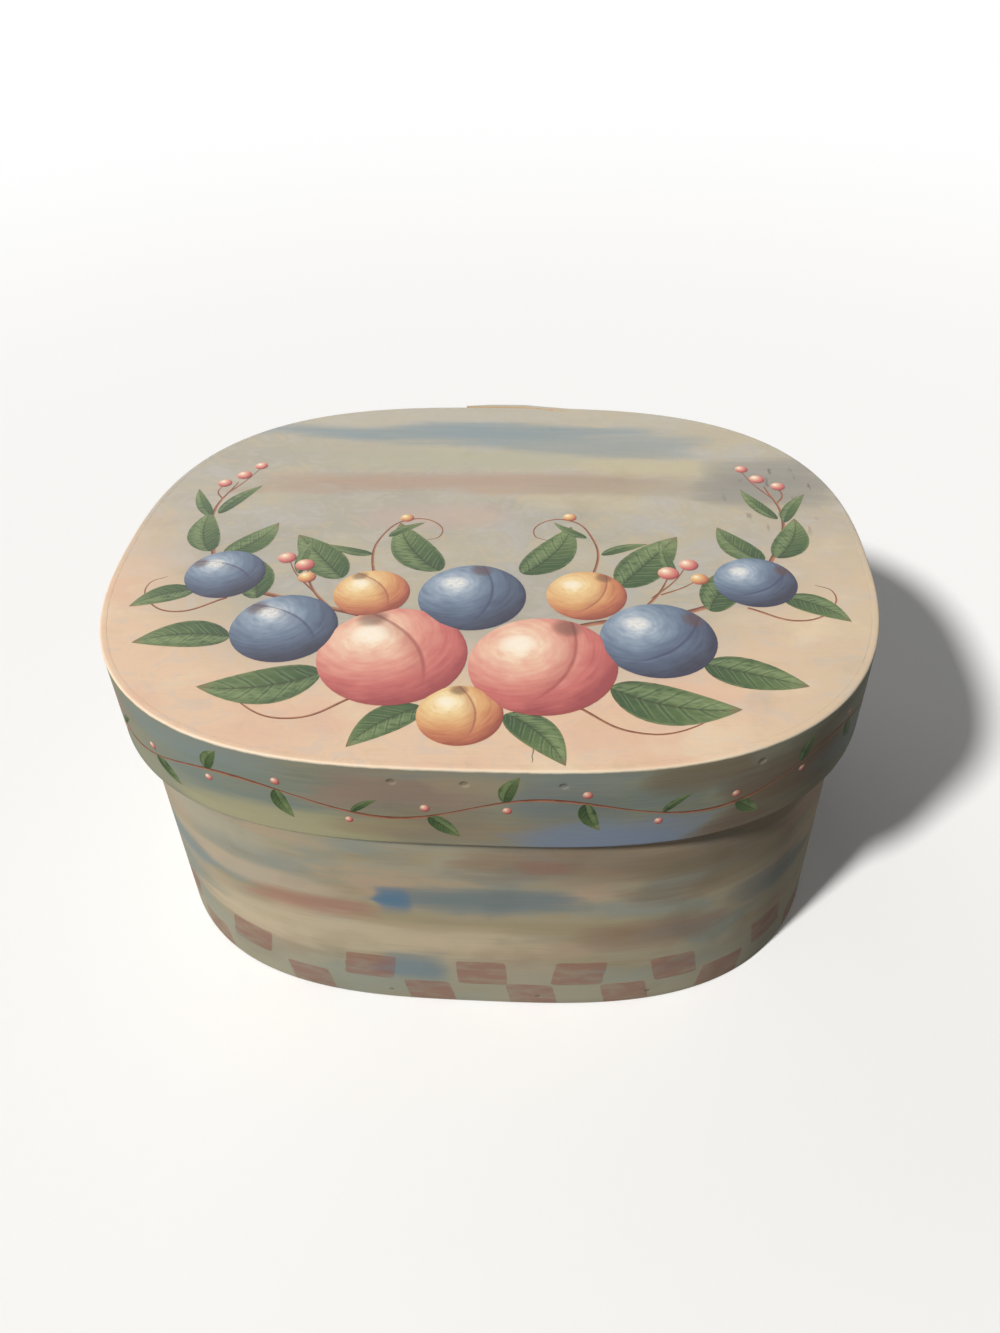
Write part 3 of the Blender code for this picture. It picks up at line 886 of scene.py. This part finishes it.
# X, Y, diameter in millimetres, the way its stem hollow points in degrees, and the kind of fruit
SWAG_FRUIT = (
    (-4, -27, 35, 262, PLUM),
    (33, -25, 26, 240, APRICOT),
    (-37, -26, 25, 300, APRICOT),
    (88, -16, 27, 215, PLUM),
    (-88, -17, 27, 330, PLUM),
    (-62, -45, 34, 318, PLUM),
    (55, -47, 36, 222, PLUM),
    (-26, -57, 46, 296, PEACH),
    (20, -60, 45, 248, PEACH),
    (-3, -83, 25, 276, APRICOT),
)
SWAG_BERRIES = (
    (60, -12, 7.0, 0, PEACH),
    (67, -7, 6.4, 0, PEACH),
    (70, -15, 6.0, 0, APRICOT),
    (-62, -11, 6.6, 0, PEACH),
    (-69, -7, 6.2, 0, PEACH),
    (-60, -18, 6.0, 0, APRICOT),
    (96, 49, 5.6, 0, PEACH),
    (103, 44, 5.2, 0, PEACH),
    (91, 56, 4.8, 0, PEACH),
    (-97, 47, 5.6, 0, PEACH),
    (-103, 41, 5.2, 0, PEACH),
    (-92, 54, 4.8, 0, PEACH),
    (27, 21, 4.8, 0, APRICOT),
    (-31, 19, 4.8, 0, APRICOT),
)

# X, Y of its foot, length in millimetres, the way it points in degrees, and its shape
SWAG_LEAVES = (
    (-16, -13, 33, 118, LEAF_LEFT),
    (12, -14, 34, 66, LEAF_RIGHT),
    (44, -20, 35, 52, LEAF),
    (-48, -18, 33, 132, LEAF),
    (-74, -30, 30, 118, LEAF_RIGHT),
    (72, -32, 32, 58, LEAF_LEFT),
    (-46, -66, 38, 196, LEAF_LEFT),
    (40, -70, 38, -12, LEAF_RIGHT),
    (68, -58, 30, -22, LEAF),
    (-78, -50, 30, 186, LEAF_RIGHT),
    (-14, -80, 26, 222, LEAF_RIGHT),
    (10, -82, 27, -46, LEAF_LEFT),
    (96, -24, 23, -30, LEAF_LEFT),
    (-96, -26, 22, 212, LEAF_RIGHT),
    (97, -2, 27, 74, LEAF_RIGHT),
    (-97, -4, 27, 108, LEAF_LEFT),
    (92, -4, 25, 128, LEAF_LEFT),
    (-91, -6, 25, 54, LEAF_RIGHT),
    (102, 20, 21, 60, SLIM_LEAF),
    (100, 22, 23, 122, SLIM_LEAF),
    (-102, 18, 21, 118, SLIM_LEAF),
    (-100, 20, 23, 60, SLIM_LEAF),
    (38, -2, 17, 20, SLIM_LEAF),
    (33, 8, 15, 142, SLIM_LEAF),
    (-40, -4, 17, 160, SLIM_LEAF),
    (-36, 7, 15, 38, SLIM_LEAF),
    (62, -14, 19, 96, SLIM_LEAF),
    (-63, -16, 19, 84, SLIM_LEAF),
)

# Twigs and tendrils: X, Y and half the breadth, in millimetres, along each stroke
SWAG_LINES = (
    (
        ((8, -52, 1.0), (34, -40, 1.0), (62, -34, 1.0), (84, -20, 0.9))
        + ((97, 2, 0.8), (102, 24, 0.6), (98, 44, 0.3))
    ),
    (
        ((-10, -50, 1.0), (-38, -38, 1.0), (-64, -30, 1.0), (-86, -20, 0.9))
        + ((-97, 0, 0.8), (-102, 22, 0.6), (-98, 42, 0.3))
    ),
    ((101, 32, 0.4), (104, 38, 0.3), (103, 43, 0.2)),
    ((100, 36, 0.4), (94, 46, 0.3), (91, 54, 0.2)),
    ((-101, 30, 0.4), (-104, 35, 0.3), (-103, 40, 0.2)),
    ((-100, 34, 0.4), (-95, 44, 0.3), (-92, 52, 0.2)),
    ((46, -38, 0.6), (56, -24, 0.5), (60, -14, 0.25)),
    ((54, -26, 0.4), (62, -16, 0.3), (66, -8, 0.2)),
    ((57, -24, 0.4), (64, -20, 0.3), (69, -16, 0.2)),
    ((-48, -36, 0.6), (-57, -24, 0.5), (-61, -12, 0.25)),
    ((-56, -26, 0.4), (-64, -16, 0.3), (-68, -8, 0.2)),
    (
        ((26, -30, 0.6), (36, -10, 0.5), (35, 8, 0.4), (27, 19, 0.35))
        + ((17, 17, 0.3), (15, 9, 0.25), (20, 6, 0.15))
    ),
    (
        ((-30, -30, 0.6), (-39, -10, 0.5), (-38, 8, 0.4), (-30, 18, 0.35))
        + ((-20, 16, 0.3), (-18, 8, 0.25), (-23, 5, 0.15))
    ),
    ((84, -30, 0.5), (100, -36, 0.4), (110, -30, 0.3), (112, -20, 0.25), (107, -17, 0.15)),
    ((-84, -30, 0.5), (-99, -38, 0.4), (-109, -33, 0.3), (-112, -23, 0.25), (-107, -19, 0.15)),
    ((30, -78, 0.5), (46, -88, 0.4), (62, -86, 0.3), (68, -79, 0.2), (63, -75, 0.12)),
    ((-34, -76, 0.5), (-50, -86, 0.4), (-65, -82, 0.3), (-69, -75, 0.2), (-64, -72, 0.12)),
)


def leaf_half_width(along):
    """Half a leaf's width, as a share of its length: full near the foot and drawn out to a point."""
    return 0.62 * along**0.6 * (1 - along) ** 0.95


def fruit_half_width(along):
    """Half a round fruit's width, with a slight dip where its stem was."""
    return math.sqrt(max(0, along * (1 - along))) * (1 - 0.03 * math.exp(-(((along - 0.03) / 0.05) ** 2)))


def painted_blank(name, half_width, bend, thickness, start, rows, columns):
    """One shape of paint, a metre long and domed, with where on it each spot lies."""
    shape = bmesh.new()
    places = {}
    for row in range(rows + 1):
        along = (1 - math.cos(math.pi * row / rows)) / 2
        for column in range(columns + 1):
            across = 2 * column / columns - 1
            dome = (1 - across**4) * min(1, 14 * along * (1 - along))
            y = across * half_width(along) + bend * 4 * along * (1 - along)
            for side, height in ((1, thickness * dome), (-1, -thickness * 0.3 * dome)):
                spot = shape.verts.new((along - start, y, height))
                places[row, column, side] = spot, across, along
    for row in range(rows):
        for column in range(columns):
            for side in (1, -1):
                corners = [(row, column), (row + 1, column), (row + 1, column + 1), (row, column + 1)]
                face = [places[(*corner, side)][0] for corner in corners[::side]]
                shape.faces.new(face)
    mesh = bpy.data.meshes.new(name)
    shape.verts.index_update()
    acrosses, spots = [0.0] * len(places), [0.0] * len(places) * 3
    for spot, across, along in places.values():
        acrosses[spot.index] = across
        spots[spot.index * 3 : spot.index * 3 + 2] = 2 * along - 1, 2 * spot.co.y
    shape.to_mesh(mesh)
    shape.free()
    keep(mesh, "across", acrosses)
    keep(mesh, "spot", spots, "FLOAT_VECTOR")
    return bpy.data.objects.new(name, mesh)


blanks = bpy.data.collections.new("painted_blanks")
bpy.context.scene.collection.children.link(blanks)
for number, sizes in enumerate(
    (
        (leaf_half_width, 0.0, LEAF_PAINT_THICKNESS, 0, 18, 8),
        (leaf_half_width, 0.09, LEAF_PAINT_THICKNESS, 0, 18, 8),
        (leaf_half_width, -0.09, LEAF_PAINT_THICKNESS, 0, 18, 8),
        (lambda along: leaf_half_width(along) * 0.55, 0.05, LEAF_PAINT_THICKNESS, 0, 14, 6),
        (fruit_half_width, 0.0, FRUIT_PAINT_THICKNESS, 0.5, 24, 16),
    )
):
    blanks.objects.link(painted_blank(f"blank_{number}", *sizes))


def whole(start, number):
    """A whole number as a wire, for sockets that would count points if left unlinked."""
    return start.node("FunctionNodeInputInt", integer=number)


def by_chance(start, low, high, seed):
    """A random number for each point."""
    limits = {2: low, 3: high, "Seed": seed}
    return start.node("FunctionNodeRandomValue", limits, 1, data_type="FLOAT")


def laid_down(points, shapes, shape, turn, size):
    """Lays a painted shape on each point. Each spot keeps its offset from the shape's middle as "lit"."""
    points = stored(points, "home", points.node("GeometryNodeInputPosition"), "FLOAT_VECTOR")
    points = stored(points, "size", size)
    shapes = {"Collection": shapes, "Separate Children": True, "Reset Children": True}
    sockets = {
        "Points": points,
        "Instance": points.node("GeometryNodeCollectionInfo", shapes),
        "Pick Instance": True,
        "Instance Index": shape,
        "Rotation": points.joined(z=turn),
        "Scale": points.joined(size, size, 1),
    }
    laid = points.node("GeometryNodeInstanceOnPoints", sockets)
    laid = laid.node("GeometryNodeRealizeInstances", {0: laid})
    home = attribute(laid, "home", "FLOAT_VECTOR")
    offset = laid.vector("SUBTRACT", laid.node("GeometryNodeInputPosition"), home)
    return stored(laid, "lit", offset.scaled(2 / attribute(laid, "size")), "FLOAT_VECTOR")


# Leaves or fruit laid at drawn points, each a little off the true by hand
given, size = new_rule(
    "laid_shapes", Collection=["Blanks"], Float=["Unsteady Hand"], Int=["Seed"], Material=["Paint"]
)
hand = size["Unsteady Hand"]
turn = attribute(given, "turn") + by_chance(given, 0 - hand, hand, size["Seed"])
length = attribute(given, "length") * by_chance(given, 1 - hand * 0.4, 1 + hand * 0.4, size["Seed"])
laid = laid_down(given, size["Blanks"], attribute(given, "shape", "INT"), turn, length)
laid_shapes = rule_giving(with_paint(laid, size["Paint"]))


def brushed(lines, spacing):
    """Turns lines into flat brush strokes as broad as their radius, which keep how far across a spot is."""
    breadth = lines.node("GeometryNodeInputRadius")
    lines = lines.node("GeometryNodeResampleCurve", {"Curve": lines, "Length": spacing}, mode="LENGTH")
    lines = lines.node("GeometryNodeSetCurveNormal", {"Curve": lines}, mode="Z_UP")
    circle = {"Resolution": 8, "Radius": 1}
    section = lines.node("GeometryNodeCurvePrimitiveCircle", circle, mode="RADIUS")
    section = stored(section, "across", lines.node("GeometryNodeInputPosition").split()[0])
    flat = {"Geometry": section, "Scale": (1, LINE_RELIEF, 1)}
    section = lines.node("GeometryNodeTransform", flat)
    sockets = {"Curve": lines, "Profile Curve": section, "Scale": breadth, "Fill Caps": True}
    return lines.node("GeometryNodeCurveToMesh", sockets)


# Twigs and tendrils brushed along drawn lines
given, size = new_rule("brushed_lines", Float=["Spacing"], Material=["Paint"])
brushed_lines = rule_giving(with_paint(brushed(given, size["Spacing"]), size["Paint"]))


def drawn_points(name, rows, lowest):
    """Points on the lid for shapes, each lying a little over the one before."""
    mesh = bpy.data.meshes.new(name)
    foot = LID_TOP - PAINT_ROOM + lowest
    places = [(row[0] * MM, row[1] * MM, foot + NEXT_LAYER * number) for number, row in enumerate(rows)]
    mesh.from_pydata(places, [], [])
    keep(mesh, "length", [row[2] * MM for row in rows])
    keep(mesh, "turn", [math.radians(row[3]) for row in rows])
    keep(mesh, "shape", [row[4] for row in rows], "INT")
    return mesh


def drawn_lines(name, strokes, height):
    """Smooth lines through drawn points, with half the breadth as their radius."""
    curve = bpy.data.curves.new(name, "CURVE")
    curve.dimensions = "3D"
    for stroke in strokes:
        spline = curve.splines.new("BEZIER")
        spline.bezier_points.add(len(stroke) - 1)
        for knot, (x, y, breadth) in zip(spline.bezier_points, stroke):
            knot.co = (x * MM, y * MM, height)
            knot.radius = breadth * MM
            knot.handle_left_type = knot.handle_right_type = "AUTO"
    return curve


# Fruit in blended acrylic: light at the upper left, deep at the lower right, with a cleft and a highlight
ripe, place = new_material("fruit_paint")
lit_x, lit_y, _ = from_stored(place, "lit", "Vector").split()
spot_x, spot_y, _ = from_stored(place, "spot", "Vector").split()
kind = from_stored(place, "tint")
blotches = mottle(place, (9, 8, 9), 3, 8)
off_x, off_y = lit_x + 0.34, lit_y - 0.38
away = (off_x**2 + off_y**2 + 0.0004) ** 0.5
swept = away.joined(away * 13, off_x / away * 1.8, off_y / away * 1.8 + blotches)
strokes = mottle(swept, [1 / MM] * 3, 4, 3)
depth = away * 0.66 + (strokes - 0.5) * 0.32 + (blotches - 0.5) * 0.30
plum = ramp(
    depth,
    (0.06, 196, 204, 212),
    (0.24, 148, 162, 178),
    (0.46, 108, 124, 144),
    (0.70, 80, 90, 110),
    (0.94, 54, 54, 68),
)
peach = ramp(
    depth,
    (0.06, 252, 234, 208),
    (0.22, 240, 200, 172),
    (0.44, 224, 156, 138),
    (0.70, 198, 110, 104),
    (0.94, 156, 74, 76),
)
apricot = ramp(
    depth,
    (0.06, 250, 232, 190),
    (0.26, 236, 202, 146),
    (0.52, 218, 164, 112),
    (0.76, 190, 118, 86),
    (0.95, 150, 80, 64),
)
colour = kind.rise(0.1, 0.4).between(plum, apricot)
colour = kind.rise(0.6, 0.9).between(colour, peach)
big = from_stored(place, "size").rise(0.012, 0.016)
crease = spot_y - (1 - spot_x**2) * 0.36
skin = kind.rise(0.1, 0.4).between(shade(58, 58, 88), shade(150, 70, 66))
crease_line = abs(crease).rise(0.045, 0.008) * spot_x.rise(0.92, 0.30) * big
colour = (crease_line * 0.55).between(colour, skin)
crease_shade = crease.rise(-0.34, 0.0) * crease.rise(0.03, 0.0) * spot_x.rise(0.9, 0.2) * big
colour = (crease_shade * 0.30).between(colour, skin)
hollow = ((spot_x + 0.84) ** 2 * 1.6 + spot_y**2).rise(0.075, 0.004) * big
colour = (hollow * 0.62).over(colour, 92, 62, 50)
rim = (lit_x**2 + lit_y**2).rise(0.80, 1.0) * (lit_x - lit_y).rise(-0.9, 0.9)
colour = (rim * 0.40).between(colour, skin)
bloom = ((lit_x + 0.36) ** 2 * 1.4 + (lit_y - 0.42) ** 2 * 2.6).rise(0.13, 0.01)
bloom = bloom * strokes.rise(0.30, 0.60)
colour = (bloom * 0.62).over(colour, 255, 246, 232)
finish(ripe, colour, 0.40 + strokes * 0.12, strokes * 0.5 + blotches * 0.2, 0.00008)

# Leaves in two greens wet into each other, with dark ribs and a tip touched with red-brown
green, place = new_material("leaf_paint")
across = from_stored(place, "across")
along = from_stored(place, "spot", "Vector").split()[0] * 0.5 + 0.5
strokes = mottle(place, (3, 1.2, 2), 4, 3)
blotches = mottle(place, (12, 12, 12), 3, 8)
tone = along * 0.62 + blotches * 0.5 + (strokes - 0.5) * 0.35 - 0.06
colour = ramp(
    tone, (0.08, 42, 62, 38), (0.34, 60, 84, 48), (0.58, 84, 104, 62), (0.84, 122, 136, 92)
)
light_half = across.rise(0.02, 0.30) * across.rise(1.0, 0.55) * strokes.rise(0.25, 0.60)
colour = (light_half * 0.42).over(colour, 148, 164, 116)
rib = (along * 6.5 - abs(across) * 1.15) + (blotches - 0.5) * 0.4
off_rib = abs(rib.sum("FRACT", rib + 20) - 0.5)
ribs = off_rib.rise(0.075, 0.02) * abs(across).rise(0.96, 0.72) * along.rise(0.02, 0.12)
colour = (ribs * 0.42).over(colour, 38, 52, 36)
beside = off_rib.rise(0.08, 0.14) * off_rib.rise(0.30, 0.16) * abs(across).rise(0.95, 0.5)
colour = (beside * 0.18).over(colour, 164, 178, 132)
midrib = abs(across).rise(0.075, 0.02)
colour = (midrib * 0.66).over(colour, 56, 54, 36)
edge = abs(across).rise(0.84, 0.97) * strokes.rise(0.35, 0.55)
colour = (edge * 0.40).over(colour, 148, 150, 108)
tip = (along + (strokes - 0.5) * 0.2).rise(0.86, 1.02)
colour = (tip * 0.6).over(colour, 128, 86, 62)
finish(green, colour, 0.42 + strokes * 0.12, strokes * 0.5 - ribs * 0.3, 0.00008)

# Twigs in red-brown, with a paler edge where the brush was loaded with cream
brown, place = new_material("twig_paint")
across = from_stored(place, "across")
strokes = mottle(place, (4, 4, 4), 4, 3)
pale = (across * 0.5 + 0.5 + (strokes - 0.5) * 0.9).rise(0.15, 0.95)
colour = pale.over(shade(112, 66, 50), 178, 126, 98)
finish(brown, colour, 0.45 + strokes * 0.1, strokes, 0.00004)


swag_twigs = made_by(
    brushed_lines,
    "swag_twigs",
    drawn_lines("swag_twigs", SWAG_LINES, LID_TOP - PAINT_ROOM),
    {"Spacing": LINE_SPACING, "Paint": brown},
)
swag_leaves = made_by(
    laid_shapes,
    "swag_leaves",
    drawn_points("swag_leaves", SWAG_LEAVES, LEAVES_LIE_AT),
    {"Blanks": blanks, "Unsteady Hand": 0.10, "Seed": 4, "Paint": green},
)
*columns, tints = zip(*SWAG_BERRIES, *SWAG_FRUIT)
fruit_points = drawn_points("swag_fruit", [(*row, FRUIT) for row in zip(*columns)], FRUIT_LIES_AT)
keep(fruit_points, "tint", tints)
swag_fruit = made_by(
    laid_shapes,
    "swag_fruit",
    fruit_points,
    {"Blanks": blanks, "Unsteady Hand": 0.0, "Seed": 2, "Paint": ripe},
)
for piece in (swag_twigs, swag_leaves, swag_fruit):
    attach(piece, "lid")


# The vine round the lid's side: an even wave of red-brown line with a leaf on each side by turns and a
# berry across from it. It starts and stops at the lap.
VINE_HEIGHT = (LID_FOOT + LID_TOP) / 2 - 0.0002
VINE_WAVE = 0.0044
VINE_WAVES = 8
VINE_STOPS_SHORT = 0.022
VINE_HALF_BREADTH = 0.00055
VINE_POINTS = 440
VINE_LIFT = 0.00001
VINE_WAVE_DRIFT = 0.12
VINE_BREADTH_DRIFT = 0.25
VINE_TAPERS_OVER = 1 / 40

# Leaves and berries grow by turns along a wavy line
given, size = new_rule(
    "running_vine",
    Float=["Leaf Spacing", "Leaf Length", "Leaf Angle", "Berry Size", "Berry Distance"],
    Int=["Seed"],
    Collection=["Blanks"],
    Material=["Stem Paint", "Leaf Paint", "Berry Paint"],
)
stem = with_paint(brushed(given, LINE_SPACING), size["Stem Paint"])

spacing = {"Curve": given, "Length": size["Leaf Spacing"]}
knots = given.node("GeometryNodeCurveToPoints", spacing, mode="LENGTH")
number = given.node("GeometryNodeInputIndex")
side = number.sum("MODULO", number, 2) * 2 - 1
forward, upward, _ = knots.other("Tangent").split()
knots = stored(knots, "heading", given.sum("ARCTAN2", upward, forward))
jitter = by_chance(given, 0.90, 1.10, size["Seed"])
turn = attribute(given, "heading") + side * size["Leaf Angle"] * jitter
shape = number.sum("MODULO", number, SLIM_LEAF + 1)
leaves = laid_down(knots, size["Blanks"], shape, turn, size["Leaf Length"] * jitter)

crosswise = attribute(given, "heading") - side * (math.pi / 2)
reach = size["Berry Distance"]
hop = given.joined(crosswise.sum("COSINE", crosswise) * reach, crosswise.sum("SINE", crosswise) * reach)
berries = given.node("GeometryNodeSetPosition", {"Geometry": knots, "Offset": hop})
berries = stored(berries, "tint", PEACH)
berries = laid_down(berries, size["Blanks"], whole(given, FRUIT), 0.0, size["Berry Size"] * jitter)
joined = given.node("GeometryNodeJoinGeometry")
for part in (stem, with_paint(leaves, size["Leaf Paint"]), with_paint(berries, size["Berry Paint"])):
    part.feed(joined.output.node, 0)
running_vine = rule_giving(joined)

vine_end = perimeter / 2 - VINE_STOPS_SHORT
vine_line = bpy.data.curves.new("rim_vine", "CURVE")
vine_line.dimensions = "3D"
wave = vine_line.splines.new("POLY")
wave.points.add(VINE_POINTS)
for step, knot in enumerate(wave.points):
    share = step / VINE_POINTS
    swing = VINE_WAVE * math.sin(share * VINE_WAVES * 2 * math.pi)
    swing = swing * (1 + VINE_WAVE_DRIFT * math.sin(share * 41))
    knot.co = ((2 * share - 1) * vine_end, swing, 0, 1)
    taper = min(1, share / VINE_TAPERS_OVER, (1 - share) / VINE_TAPERS_OVER)
    knot.radius = VINE_HALF_BREADTH * (0.8 + VINE_BREADTH_DRIFT * math.sin(share * 97)) * taper
rim_vine = made_by(
    running_vine,
    "rim_vine",
    vine_line,
    {
        "Leaf Spacing": 0.0225,
        "Leaf Length": 0.0110,
        "Leaf Angle": math.radians(52),
        "Berry Size": 0.0026,
        "Berry Distance": 0.0034,
        "Seed": 6,
        "Blanks": blanks,
        "Stem Paint": brown,
        "Leaf Paint": green,
        "Berry Paint": ripe,
    },
)
for vertex in rim_vine.data.vertices:
    point, outward = oval_place(vertex.co.x, SIDE_PAINT_ROOM, VINE_HEIGHT + vertex.co.y)
    vertex.co = point + outward * (vertex.co.z + VINE_LIFT)
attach(rim_vine, "lid")
for blank in list(blanks.objects):
    bpy.data.objects.remove(blank)
bpy.data.collections.remove(blanks)
